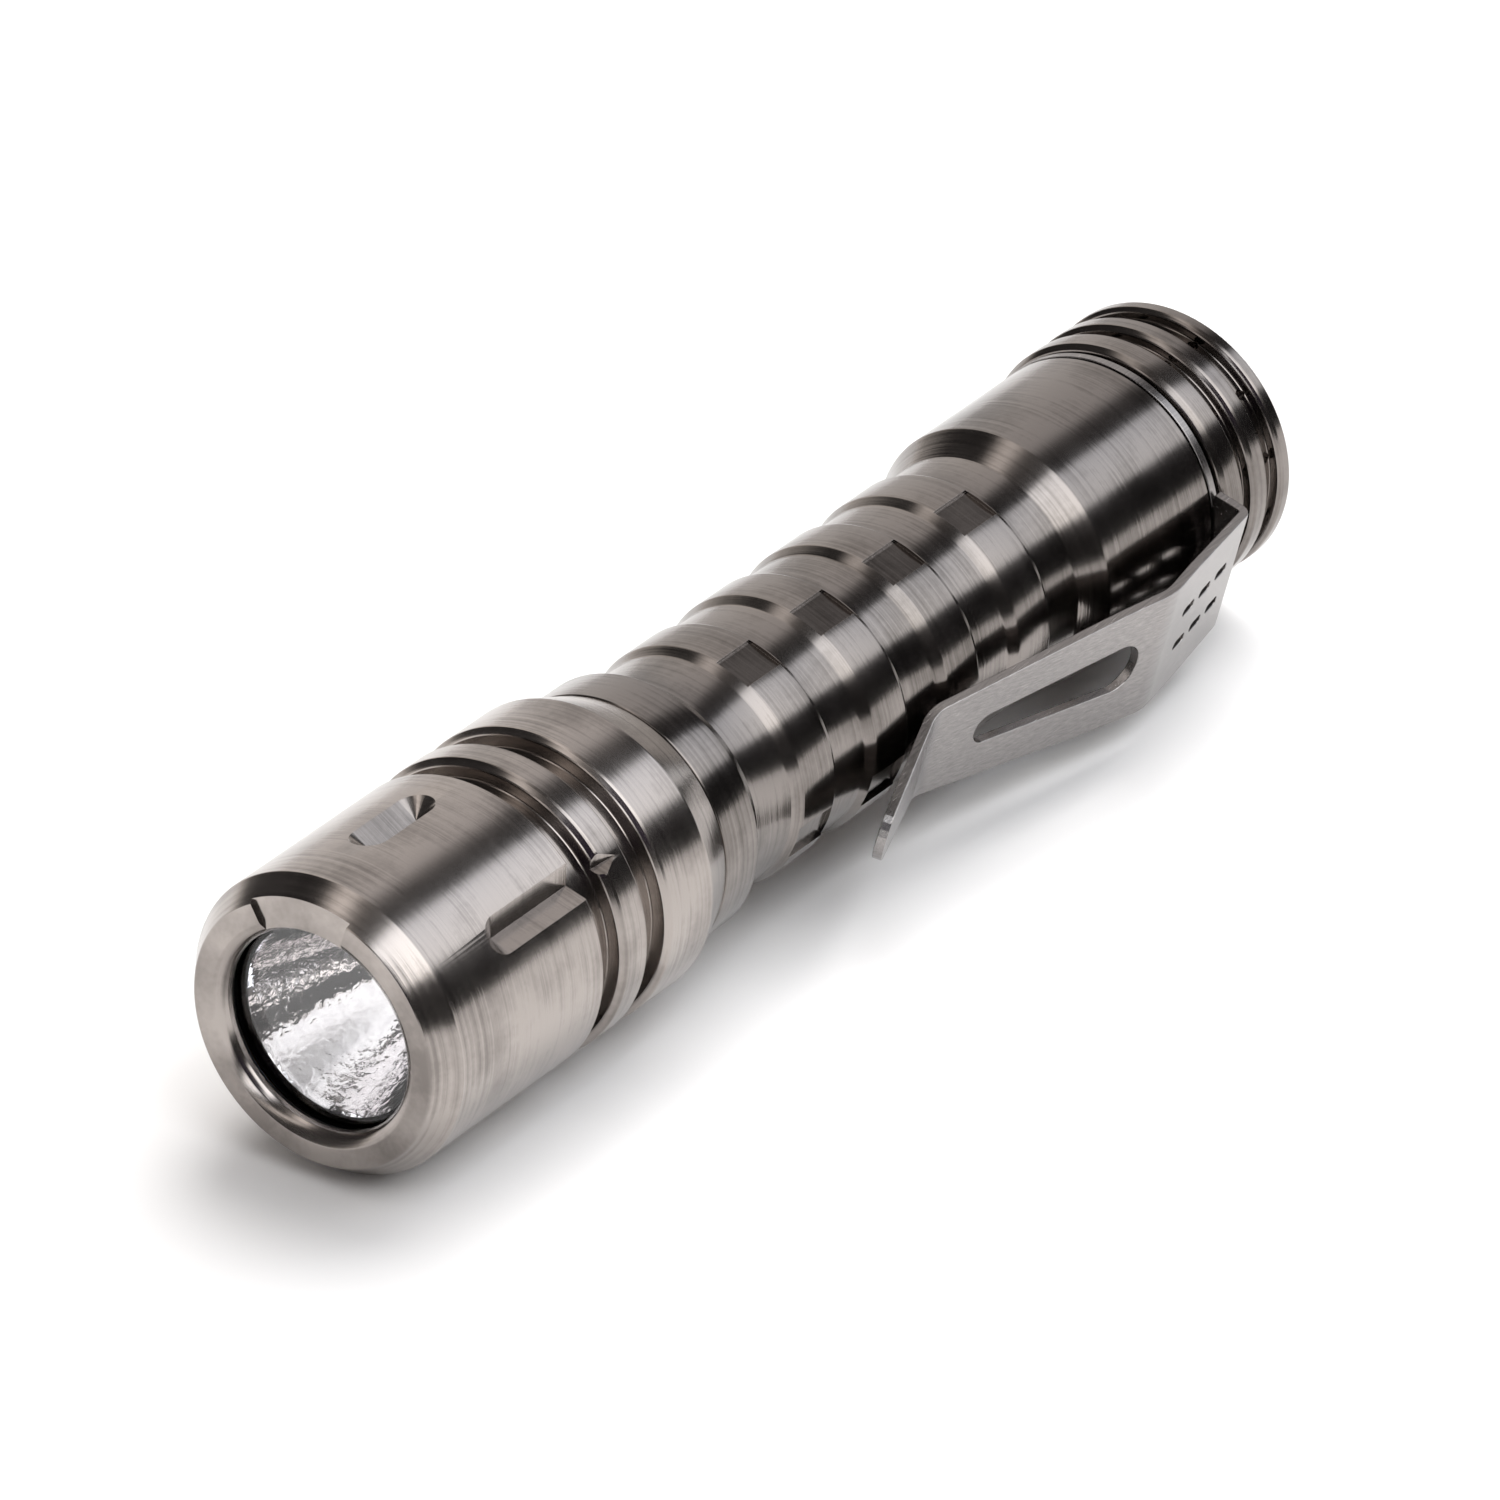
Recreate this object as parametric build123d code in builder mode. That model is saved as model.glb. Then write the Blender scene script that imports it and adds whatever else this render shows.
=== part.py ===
"""Keychain flashlight: turned metal head, grip tube, finned tail cap and sheet pocket clip.

The light lies along X with the lens towards -X. It rests on Z = 0, and the origin is
under the middle of its box. Stations are distances behind the head's front shoulder.
"""

import math
import os

from build123d import *

os.makedirs("parts", exist_ok=True)

# Driving dimensions, mm
HEAD_R = 8.0
CELL_R = 5.25
CELL_LENGTH = 44.5
TUBE_BORE_R = 5.45
THREAD_BORE_R = 6.4
THREAD_R = 6.35
OPTIC_BORE_R = 6.1
EDGE_BREAK = 0.08

# Stations along the body
FACE = -1.384
HEAD_END = 22.648
TUBE_START = 22.70
CELL_START = 17.6
TUBE_END = 64.8
BODY_END = 71.41

# Clip: angle round the body from straight up towards -Y, sheet and blade
CLIP_ANGLE = 105.0
CLIP_SHEET = 0.5
CLIP_REACH = 9.98
CLIP_TAB_WIDTH = 7.2

# Placing the body axis so that the origin is at the bottom centre of the whole box
AXIS_Z = HEAD_R
NEAR_REACH = 10.576
AXIS_Y = (NEAR_REACH - HEAD_R) / 2
SHIFT_X = -(FACE + BODY_END) / 2

SECTION = Plane(origin=(SHIFT_X, AXIS_Y, AXIS_Z), x_dir=(1, 0, 0), z_dir=(0, -1, 0))
BODY_AXIS = Axis((0, AXIS_Y, AXIS_Z), (1, 0, 0))


def outward(angle):
    """Unit vector that points out of the body at an angle from straight up towards -Y."""
    return Vector(0, -math.sin(math.radians(angle)), math.cos(math.radians(angle)))


def radial(station, angle, radius=0.0):
    """Plane that faces outward at a station; its X runs along the body."""
    foot = Vector(SHIFT_X + station, AXIS_Y, AXIS_Z) + outward(angle) * radius
    return Plane(origin=foot, x_dir=(1, 0, 0), z_dir=outward(angle))


def crosswise(station, angle=0.0):
    """Plane across the body that faces the tail; its Y points outward at the angle."""
    side = outward(angle).cross(Vector(1, 0, 0))
    return Plane(origin=(SHIFT_X + station, AXIS_Y, AXIS_Z), x_dir=side, z_dir=(1, 0, 0))


def turned(*outline, mode=Mode.ADD, edge=EDGE_BREAK):
    """Turn a closed outline of (station, radius) points, with its corners broken."""
    with BuildSketch(SECTION) as profile:
        with BuildLine():
            Polyline(*outline, close=True)
        make_face()
        if edge:
            corners = [v for v in profile.vertices() if abs(v.Z - AXIS_Z) > edge]
            chamfer(corners, length=edge)
    revolve(profile.sketch, axis=BODY_AXIS, mode=mode)


def sleeve(start, end, outer, inner=0.0, mode=Mode.ADD, edge=EDGE_BREAK):
    """Turn a plain ring, or a disc when there is no inner radius."""
    turned((start, inner), (start, outer), (end, outer), (end, inner), mode=mode, edge=edge)


def save(piece, label):
    """Name a finished piece and write it."""
    piece.part.label = label
    export_step(piece.part, f"parts/{label}.step")


# Head: one turned piece with the bezel, two grooves and their lands
OPENING_R = 5.336
OPENING_START = -0.84
LIP_BACK = -0.5
STEP_DEPTH = 0.248
STEP_ANGLES = (-6.0, 114.0, 234.0)
STEP_SPAN = 48.0
FLUTE_TIP_R = 7.12
FLUTE_TOP_R = 8.72
FLUTE_HALF_ANGLE = 51.0
LONG_FLUTES = ((54.0, 174.0, 294.0), 5.24, 12.36)
SHORT_FLUTES = ((-6.0, 114.0, 234.0), 4.56, 8.08)
RUN_OUT = 15.0
RUN_OUT_TIP_R = 8.32


def wedge(station, angle, tip_r):
    """Sketch the V of the flute cutter with its tip at a radius."""
    half_width = (FLUTE_TOP_R - tip_r) * math.tan(math.radians(FLUTE_HALF_ANGLE))
    with BuildSketch(crosswise(station, angle)) as section:
        with BuildLine():
            Polyline(
                (0, tip_r),
                (half_width, FLUTE_TOP_R),
                (-half_width, FLUTE_TOP_R),
                close=True,
            )
        make_face()
    return section.sketch


def flute(angle, start, end, cones):
    """Cut a V-shaped flute with conical ends, as a countersink drawn along the body leaves."""
    height = FLUTE_TOP_R - FLUTE_TIP_R
    extrude(wedge(start, angle, FLUTE_TIP_R), amount=end - start, mode=Mode.SUBTRACT)
    with Locations(*[radial(station, angle, FLUTE_TIP_R) for station in cones]):
        Cone(
            0,
            height * math.tan(math.radians(FLUTE_HALF_ANGLE)),
            height,
            align=(Align.CENTER, Align.CENTER, Align.MIN),
            mode=Mode.SUBTRACT,
        )


with BuildPart() as head_shell:
    turned(
        (FACE, 5.976),
        (FACE, 7.032),
        (0, HEAD_R),
        (11.296, HEAD_R),
        (11.296, 7.03),
        (12.96, 7.03),
        (12.96, 7.69),
        (13.27, HEAD_R),
        (14.872, HEAD_R),
        (14.872, 7.0),
        (16.608, 7.0),
        (16.608, 7.72),
        (16.89, HEAD_R),
        (20.232, HEAD_R),
        (HEAD_END, 7.05),
        (HEAD_END, THREAD_BORE_R),
        (16.8, THREAD_BORE_R),
        (16.5, OPTIC_BORE_R),
        (LIP_BACK, OPTIC_BORE_R),
        (LIP_BACK, OPENING_R),
        (OPENING_START, OPENING_R),
        (FACE + STEP_DEPTH, 5.552),
    )
    for step_angle in STEP_ANGLES:
        with BuildSketch(crosswise(FACE, step_angle)) as step:
            reach = 2 * HEAD_R
            half = math.radians(STEP_SPAN / 2)
            with BuildLine():
                Polyline(
                    (0, 0),
                    (reach * math.sin(half), reach * math.cos(half)),
                    (-reach * math.sin(half), reach * math.cos(half)),
                    close=True,
                )
            make_face()
        extrude(step.sketch, amount=STEP_DEPTH, both=True, mode=Mode.SUBTRACT)
    angles, first, last = SHORT_FLUTES
    for flute_angle in angles:
        flute(flute_angle, first, last, cones=(first, last))
    angles, first, last = LONG_FLUTES
    for flute_angle in angles:
        flute(flute_angle, first, last, cones=(first,))
        ends = [
            wedge(last, flute_angle, FLUTE_TIP_R),
            wedge(RUN_OUT, flute_angle, RUN_OUT_TIP_R),
        ]
        loft(sections=ends, ruled=True, mode=Mode.SUBTRACT)
save(head_shell, "head_shell")

# Seal and flat lens, clamped between the bezel's lip and the reflector
LENS_FRONT = -0.2
LENS_BACK = 0.8
FITTED_R = 6.05

with BuildPart() as lens_seal:
    sleeve(LIP_BACK, LENS_FRONT, FITTED_R, 5.42, edge=0.05)
save(lens_seal, "lens_seal")

with BuildPart() as lens:
    sleeve(LENS_FRONT, LENS_BACK, FITTED_R)
save(lens, "lens")

# Reflector: a paraboloid about the emitter, drawn exactly as a quadratic curve
FOCUS = 8.4
DISH_MOUTH = (1.0, 5.25)
DISH_HOLE_R = 1.95
REFLECTOR_END = 8.7


def dish_curve():
    """Mouth, middle and throat control points of the reflector's parabola."""
    mouth_x, mouth_r = DISH_MOUTH
    depth = FOCUS - mouth_x
    focal = (math.hypot(depth, mouth_r) - depth) / 2
    vertex = FOCUS + focal
    throat = (vertex - DISH_HOLE_R**2 / (4 * focal), DISH_HOLE_R)
    middle = (vertex - mouth_r * DISH_HOLE_R / (4 * focal), (mouth_r + DISH_HOLE_R) / 2)
    return DISH_MOUTH, middle, throat


with BuildPart() as reflector:
    mouth, middle, throat = dish_curve()
    with BuildSketch(SECTION) as cup:
        with BuildLine():
            Bezier(mouth, middle, throat)
            Polyline(
                throat,
                (REFLECTOR_END, DISH_HOLE_R),
                (REFLECTOR_END, 3.3),
                (2.4, 5.9),
                (2.4, 6.0),
                (LENS_BACK, 6.0),
                (LENS_BACK, 5.4),
                mouth,
            )
        make_face()
    revolve(cup.sketch, axis=BODY_AXIS)
save(reflector, "reflector")

# Emitter on its board, centred in the reflector's throat by a plastic ring
BOARD_FRONT = 9.35
BOARD_BACK = 10.35
PACKAGE = 3.45
PACKAGE_FRONT = 8.75
DOME_R = 1.25
WIRE_R = 0.3
WIRE_HOLE_R = 0.5
WIRE_RING_R = 4.3
WIRE_ANGLES = (90, 270)


def wire_holes(start, end):
    """Drill the two holes that let the emitter's leads through."""
    with Locations(*[crosswise(start, a) for a in WIRE_ANGLES]):
        with Locations((0, WIRE_RING_R, 0)):
            Cylinder(
                WIRE_HOLE_R,
                end - start,
                align=(Align.CENTER, Align.CENTER, Align.MIN),
                mode=Mode.SUBTRACT,
            )


with BuildPart() as led_board:
    sleeve(BOARD_FRONT, BOARD_BACK, 5.2)
    wire_holes(BOARD_FRONT, BOARD_BACK)
save(led_board, "led_board")

with BuildPart() as led_base:
    with BuildSketch(crosswise(PACKAGE_FRONT)):
        Rectangle(PACKAGE, PACKAGE)
    extrude(amount=BOARD_FRONT - PACKAGE_FRONT)
save(led_base, "led_base")

with BuildPart() as led_dome:
    with Locations(crosswise(PACKAGE_FRONT)):
        Sphere(
            DOME_R,
            arc_size1=-90,
            arc_size2=0,
            align=(Align.CENTER, Align.CENTER, Align.MAX),
        )
save(led_dome, "led_dome")

with BuildPart() as led_centring_ring:
    sleeve(PACKAGE_FRONT, BOARD_FRONT, 3.2, 2.5, edge=0.05)
save(led_centring_ring, "led_centring_ring")

with BuildPart() as led_wires:
    for wire_angle in WIRE_ANGLES:
        with BuildSketch(crosswise(9.2, wire_angle)):
            with Locations((0, WIRE_RING_R)):
                Circle(WIRE_R)
        extrude(amount=4.8)
save(led_wires, "led_wires")

# Heat pill: brass cup behind the emitter's board, with the driver in its open end
PILL_SHELF = 1.25
PILL_END = 15.2
PILL_WALL_R = 5.4
DRIVER_FRONT = 14.0
DRIVER_BACK = 14.9

with BuildPart() as heat_pill:
    turned(
        (BOARD_BACK, 0),
        (BOARD_BACK, FITTED_R),
        (PILL_END, FITTED_R),
        (PILL_END, PILL_WALL_R),
        (BOARD_BACK + PILL_SHELF, PILL_WALL_R),
        (BOARD_BACK + PILL_SHELF, 0),
    )
    wire_holes(BOARD_BACK, BOARD_BACK + PILL_SHELF)
save(heat_pill, "heat_pill")

with BuildPart() as driver_board:
    sleeve(DRIVER_FRONT, DRIVER_BACK, 5.35)
save(driver_board, "driver_board")

with BuildPart() as driver_parts:
    for part_y, part_z, part_width, part_height in ((-1.7, 1.5, 3.0, 1.0), (1.8, 1.2, 2.4, 1.5)):
        with BuildSketch(crosswise(DRIVER_FRONT - part_height)):
            with Locations((part_y, part_z)):
                Rectangle(part_width, part_width)
        extrude(amount=part_height)
save(driver_parts, "driver_parts")

with BuildPart() as driver_contact:
    turned(
        (DRIVER_BACK, 0),
        (DRIVER_BACK, 2.4),
        (DRIVER_BACK + 0.5, 2.4),
        (DRIVER_BACK + 0.5, 1.6),
        (CELL_START - 0.1, 1.6),
        (CELL_START - 0.1, 0),
    )
save(driver_contact, "driver_contact")

with BuildPart() as pill_ring:
    sleeve(PILL_END, 16.3, FITTED_R, 4.7)
    for slot_angle in (0, 180):
        with BuildSketch(radial(16.3, slot_angle)) as slot:
            Rectangle(1.0, 1.2)
        extrude(slot.sketch, amount=HEAD_R, mode=Mode.SUBTRACT)
save(pill_ring, "pill_ring")

# Battery tube: threaded neck, collar, four grip rings with pockets, plain tail
VALLEY_R = 6.216
CREST_R = 6.52
RING_START = 29.344
RING_PITCH = 6.184
RING_COUNT = 4
RING_RAMP = 0.632
RING_LAND = 2.66
RING_DROP = 0.3
TAIL_R = 7.12
NECK_START = 17.7
SEAL_FLOOR_R = 5.95
NECK_SEAL = 21.05
TAIL_SEAL = 63.35
SEAL_HALF = 0.42
POCKET_WIDTH = 2.04
POCKET_ANGLES = (20.6, 110.6, 200.6, 290.6)
REAR_BORE_START = 58.9


def grip_rings():
    """Outline points of the grip rings, each a short ramp, a land and a steep drop."""
    points = []
    for count in range(RING_COUNT):
        foot = RING_START + count * RING_PITCH
        top = foot + RING_RAMP
        points += [
            (foot, VALLEY_R),
            (top, CREST_R),
            (top + RING_LAND, CREST_R),
            (top + RING_LAND + RING_DROP, VALLEY_R),
        ]
    return points


with BuildPart() as battery_tube:
    turned(
        (NECK_START, THREAD_R),
        (NECK_SEAL - SEAL_HALF, THREAD_R),
        (NECK_SEAL - SEAL_HALF, SEAL_FLOOR_R),
        (NECK_SEAL + SEAL_HALF, SEAL_FLOOR_R),
        (NECK_SEAL + SEAL_HALF, THREAD_R),
        (TUBE_START, THREAD_R),
        (TUBE_START, 7.08),
        (25.32, 7.08),
        (26.4, VALLEY_R),
        *grip_rings(),
        (54.08, VALLEY_R),
        (55.65, TAIL_R),
        (TUBE_END, TAIL_R),
        (TUBE_END, THREAD_BORE_R),
        (REAR_BORE_START, THREAD_BORE_R),
        (REAR_BORE_START - 0.4, TUBE_BORE_R),
        (NECK_START, TUBE_BORE_R),
    )
    for count in range(RING_COUNT):
        pocket_middle = RING_START + count * RING_PITCH + RING_RAMP + RING_LAND / 2
        for pocket_angle in POCKET_ANGLES:
            with BuildSketch(radial(pocket_middle, pocket_angle, VALLEY_R)) as pocket:
                Rectangle(RING_LAND + 0.2, POCKET_WIDTH)
            extrude(pocket.sketch, amount=1.0, mode=Mode.SUBTRACT)
save(battery_tube, "battery_tube")

for seal_name, seal_station in (("neck_seal", NECK_SEAL), ("tail_seal", TAIL_SEAL)):
    with BuildPart() as seal:
        with BuildSketch(SECTION) as bead:
            with Locations((seal_station, 6.165)):
                Circle(0.205)
        revolve(bead.sketch, axis=BODY_AXIS)
    save(seal, seal_name)

# Rechargeable cell: can in a sleeve, insulating ring and positive button
CELL_END = CELL_START + CELL_LENGTH
CAN_START = CELL_START + 1.0
CAN_R = CELL_R - 0.1

with BuildPart() as cell_can:
    sleeve(CAN_START, CELL_END, CAN_R, edge=0.4)
save(cell_can, "cell_can")

with BuildPart() as cell_wrap:
    turned(
        (CAN_START + 0.5, CAN_R),
        (CAN_START + 0.5, CELL_R),
        (CELL_END - 0.5, CELL_R),
        (CELL_END - 0.5, CAN_R),
        edge=0,
    )
save(cell_wrap, "cell_wrap")

with BuildPart() as cell_insulator:
    sleeve(CAN_START - 0.2, CAN_START, 4.6, 2.4, edge=0)
save(cell_insulator, "cell_insulator")

with BuildPart() as cell_button:
    sleeve(CELL_START, CAN_START, 2.2, edge=0.2)
save(cell_button, "cell_button")

# Finned tail cap on a threaded spigot, with dimples drilled round its two grooves
FIN_R = 7.44
FIN_FLOOR_R = 6.8
CAP_START = 59.1
CAP_SHOULDER = 65.42
BUTTON_HOLE_R = 4.2
BOOT_SEAT = 69.4
DIMPLE_R = 0.3
DIMPLE_DEPTH = 0.35
DIMPLE_COUNT = 12
DIMPLE_START_ANGLE = 18.4
DIMPLE_STATIONS = (67.78, 70.24)

with BuildPart() as tail_cap:
    turned(
        (CAP_START, THREAD_R),
        (TAIL_SEAL - SEAL_HALF, THREAD_R),
        (TAIL_SEAL - SEAL_HALF, SEAL_FLOOR_R),
        (TAIL_SEAL + SEAL_HALF, SEAL_FLOOR_R),
        (TAIL_SEAL + SEAL_HALF, THREAD_R),
        (CAP_SHOULDER, THREAD_R),
        (CAP_SHOULDER, FIN_FLOOR_R),
        (65.62, FIN_FLOOR_R),
        (65.62, 7.2),
        (65.95, FIN_R),
        (67.2, FIN_R),
        (67.2, FIN_FLOOR_R),
        (68.16, FIN_FLOOR_R),
        (68.16, 7.2),
        (68.42, FIN_R),
        (69.36, FIN_R),
        (69.36, FIN_FLOOR_R),
        (70.56, FIN_FLOOR_R),
        (70.56, 7.24),
        (70.78, FIN_R),
        (BODY_END, FIN_R),
        (BODY_END, BUTTON_HOLE_R),
        (BOOT_SEAT, BUTTON_HOLE_R),
        (BOOT_SEAT, TUBE_BORE_R),
        (CAP_START, TUBE_BORE_R),
    )
    for dimple_station in DIMPLE_STATIONS:
        for count in range(DIMPLE_COUNT):
            dimple_angle = DIMPLE_START_ANGLE + count * 360 / DIMPLE_COUNT
            with BuildSketch(radial(dimple_station, dimple_angle, FIN_R + 0.1)) as dimple:
                Circle(DIMPLE_R)
            drop = FIN_R + 0.1 - FIN_FLOOR_R + DIMPLE_DEPTH
            extrude(dimple.sketch, amount=-drop, mode=Mode.SUBTRACT)
save(tail_cap, "tail_cap")

# Switch stack inside the cap, from the contact spring back to the boot
RING_FRONT = 63.4
SWITCH_BOARD_FRONT = 64.6
SWITCH_FRONT = 65.4
SWITCH_END = 67.6
SWITCH_WIDTH = 6.4
STACK_R = 5.4
PLUNGER_R = 1.4
PLUNGER_BORE_R = 1.5
PLUNGER_FRONT = 67.0
PLUNGER_BORE_END = 65.8
BUTTON_FRONT = 68.5
BUTTON_TOP = 70.9
BUTTON_R = 4.1

with BuildPart() as switch_ring:
    sleeve(RING_FRONT, SWITCH_BOARD_FRONT, STACK_R, 4.0)
    for slot_angle in (0, 180):
        with BuildSketch(radial(RING_FRONT, slot_angle)) as slot:
            Rectangle(1.0, 1.2)
        extrude(slot.sketch, amount=HEAD_R, mode=Mode.SUBTRACT)
save(switch_ring, "switch_ring")

with BuildPart() as switch_board:
    sleeve(SWITCH_BOARD_FRONT, SWITCH_FRONT, STACK_R)
save(switch_board, "switch_board")

with BuildPart() as switch_body:
    with BuildSketch(crosswise(SWITCH_FRONT)):
        RectangleRounded(SWITCH_WIDTH, SWITCH_WIDTH, 0.4)
    extrude(amount=SWITCH_END - SWITCH_FRONT)
    with BuildSketch(crosswise(PLUNGER_BORE_END)):
        Circle(PLUNGER_BORE_R)
    extrude(amount=SWITCH_END - PLUNGER_BORE_END, mode=Mode.SUBTRACT)
save(switch_body, "switch_body")

with BuildPart() as switch_plunger:
    sleeve(PLUNGER_FRONT, BUTTON_FRONT, PLUNGER_R, edge=0.15)
save(switch_plunger, "switch_plunger")

with BuildPart() as switch_spacer:
    sleeve(SWITCH_FRONT, 68.35, STACK_R, 4.75)
save(switch_spacer, "switch_spacer")

with BuildPart() as boot_flange:
    sleeve(68.35, BOOT_SEAT, STACK_R, 4.3)
save(boot_flange, "boot_flange")

with BuildPart() as tail_button:
    turned(
        (BUTTON_FRONT, 0),
        (BUTTON_FRONT, BUTTON_R),
        (BUTTON_TOP - 0.5, BUTTON_R),
        (BUTTON_TOP - 0.15, BUTTON_R - 0.5),
        (BUTTON_TOP, BUTTON_R - 1.6),
        (BUTTON_TOP, 0),
    )
save(tail_button, "tail_button")


def coil(start, end, first_r, last_r, wire_r, turns):
    """Sweep round wire along a helix between two stations."""
    height = end - start
    lean = math.degrees(math.atan((last_r - first_r) / height))
    centre = (SHIFT_X + start, AXIS_Y, AXIS_Z)
    with BuildLine() as path:
        Helix(height / turns, height, first_r, centre, (1, 0, 0), lean)
    wire = path.line
    with BuildSketch(Plane(origin=wire @ 0, z_dir=wire % 0)) as section:
        Circle(wire_r)
    sweep(section.sketch, path=wire)


with BuildPart() as tail_spring:
    coil(CELL_END + 0.25, SWITCH_BOARD_FRONT - 0.25, 2.4, 3.5, 0.2, 2.5)
save(tail_spring, "tail_spring")

with BuildPart() as switch_spring:
    coil(PLUNGER_BORE_END + 0.12, PLUNGER_FRONT - 0.12, 1.0, 1.0, 0.1, 3)
save(switch_spring, "switch_spring")

# Pocket clip: a ring round the cap's spigot, a tab, and a tapered sprung blade
CLIP_RING_FRONT = 64.88
CLIP_RING_INNER_R = 6.42
CLIP_RING_OUTER_R = 7.16
CLIP_PLAN = (
    (66.0, 3.6),
    (59.0, 3.9),
    (53.0, 3.72),
    (40.0, 2.75),
    (33.9, 1.6),
    (32.3, 0.0),
)
WINDOW_REAR = (53.4, 1.5)
WINDOW_FRONT = (44.2, 0.9)
VENT_ROWS = (59.2, 61.1, 63.0)
VENT_SIDE = 1.1

clip_side = Plane(
    origin=(SHIFT_X, AXIS_Y, AXIS_Z),
    x_dir=(1, 0, 0),
    z_dir=Vector(1, 0, 0).cross(outward(CLIP_ANGLE)),
)
clip_plan = radial(0, CLIP_ANGLE)

with BuildPart() as pocket_clip:
    with BuildSketch(clip_side) as strip:
        with BuildLine():
            FilletPolyline(
                (CLIP_RING_FRONT + CLIP_SHEET, CLIP_RING_OUTER_R - 0.3),
                (CLIP_RING_FRONT + CLIP_SHEET, 8.5),
                (56.4, CLIP_REACH),
                (40.0, 6.98),
                (32.4, 9.92),
                radius=(0.75, 3.5, 1.6),
            )
            offset(amount=CLIP_SHEET, side=Side.LEFT)
        make_face()
    extrude(strip.sketch, amount=4.5, both=True)
    with BuildSketch(clip_plan) as plan:
        with BuildLine():
            Polyline(*CLIP_PLAN, *[(x, -y) for x, y in reversed(CLIP_PLAN[:-1])], close=True)
        make_face()
        sides = [v for v in plan.vertices() if v.X < SHIFT_X + 66.0 - 1.0]
        fillet(sides, radius=1.1)
    extrude(plan.sketch, amount=2 * CLIP_REACH, mode=Mode.INTERSECT)
    with BuildSketch(clip_plan) as window:
        with BuildLine():
            rear_x, rear_r = WINDOW_REAR
            front_x, front_r = WINDOW_FRONT
            Polyline(
                (rear_x + rear_r, rear_r),
                (front_x - front_r, front_r),
                (front_x - front_r, -front_r),
                (rear_x + rear_r, -rear_r),
                close=True,
            )
        make_face()
        fillet(window.vertices().sort_by(Axis.X)[2:], radius=1.2)
        fillet(window.vertices().sort_by(Axis.X)[:2], radius=0.85)
    extrude(window.sketch, amount=2 * CLIP_REACH, mode=Mode.SUBTRACT)
    with BuildSketch(clip_plan) as vents:
        for row in VENT_ROWS:
            with Locations((row, VENT_SIDE), (row, -VENT_SIDE)):
                SlotOverall(1.3, 0.55)
    extrude(vents.sketch, amount=2 * CLIP_REACH, mode=Mode.SUBTRACT)
    with BuildSketch(crosswise(CLIP_RING_FRONT, CLIP_ANGLE)) as ring:
        Circle(CLIP_RING_OUTER_R)
        with Locations((0, CLIP_RING_OUTER_R - 0.6)):
            Rectangle(CLIP_TAB_WIDTH, 2.8)
        fillet(ring.vertices(), radius=0.4)
        Circle(CLIP_RING_INNER_R, mode=Mode.SUBTRACT)
    extrude(ring.sketch, amount=CLIP_SHEET)
save(pocket_clip, "pocket_clip")
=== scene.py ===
import math

import bmesh
import bpy
from mathutils import Matrix, Vector


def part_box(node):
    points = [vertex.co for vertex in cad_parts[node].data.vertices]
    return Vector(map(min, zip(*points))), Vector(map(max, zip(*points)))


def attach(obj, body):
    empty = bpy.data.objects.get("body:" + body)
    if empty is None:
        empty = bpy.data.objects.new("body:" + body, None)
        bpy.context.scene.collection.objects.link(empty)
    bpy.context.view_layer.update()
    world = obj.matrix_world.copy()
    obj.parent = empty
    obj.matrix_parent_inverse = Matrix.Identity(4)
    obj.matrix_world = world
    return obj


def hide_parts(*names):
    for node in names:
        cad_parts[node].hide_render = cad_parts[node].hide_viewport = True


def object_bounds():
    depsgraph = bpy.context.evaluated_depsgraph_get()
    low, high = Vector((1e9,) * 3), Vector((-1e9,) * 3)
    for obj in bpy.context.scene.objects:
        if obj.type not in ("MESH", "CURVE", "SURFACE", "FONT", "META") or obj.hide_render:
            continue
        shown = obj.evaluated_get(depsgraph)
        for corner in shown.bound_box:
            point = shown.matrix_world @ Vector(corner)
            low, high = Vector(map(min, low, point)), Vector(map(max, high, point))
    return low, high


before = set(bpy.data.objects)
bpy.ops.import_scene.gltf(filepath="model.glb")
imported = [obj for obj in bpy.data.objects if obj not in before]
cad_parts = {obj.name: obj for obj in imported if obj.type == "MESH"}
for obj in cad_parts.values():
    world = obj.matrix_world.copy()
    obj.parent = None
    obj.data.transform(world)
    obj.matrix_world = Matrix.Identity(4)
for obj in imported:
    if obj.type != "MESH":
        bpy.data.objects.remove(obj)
cad_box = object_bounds()

# ---------------------------------------------------------------------------
# Head: one piece of bare titanium bar, turned on a lathe to a stepped bezel, two
# grooves and two thin lands, then fluted with a pointed cutter drawn along the body.
# It screws onto the tube's neck.

# Every piece is made in millimetres round X, with station 0 at the head's front shoulder
# and the angle 0 pointing up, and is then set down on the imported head's axis.
FACE_STATION = -1.384
head_low, head_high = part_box("head_shell")
axis_y = (head_low.y + head_high.y) / 2
axis_z = (head_low.z + head_high.z) / 2
shoulder_x = head_low.x - FACE_STATION / 1000
set_down = Matrix.Translation((shoulder_x, axis_y, axis_z)) @ Matrix.Scale(0.001, 4)


def linear(hex_colour):
    """sRGB hex such as #A09488 as linear RGBA."""
    values = [int(hex_colour[i : i + 2], 16) / 255 for i in (1, 3, 5)]
    return [v / 12.92 if v <= 0.04045 else ((v + 0.055) / 1.055) ** 2.4 for v in values] + [1.0]


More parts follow.
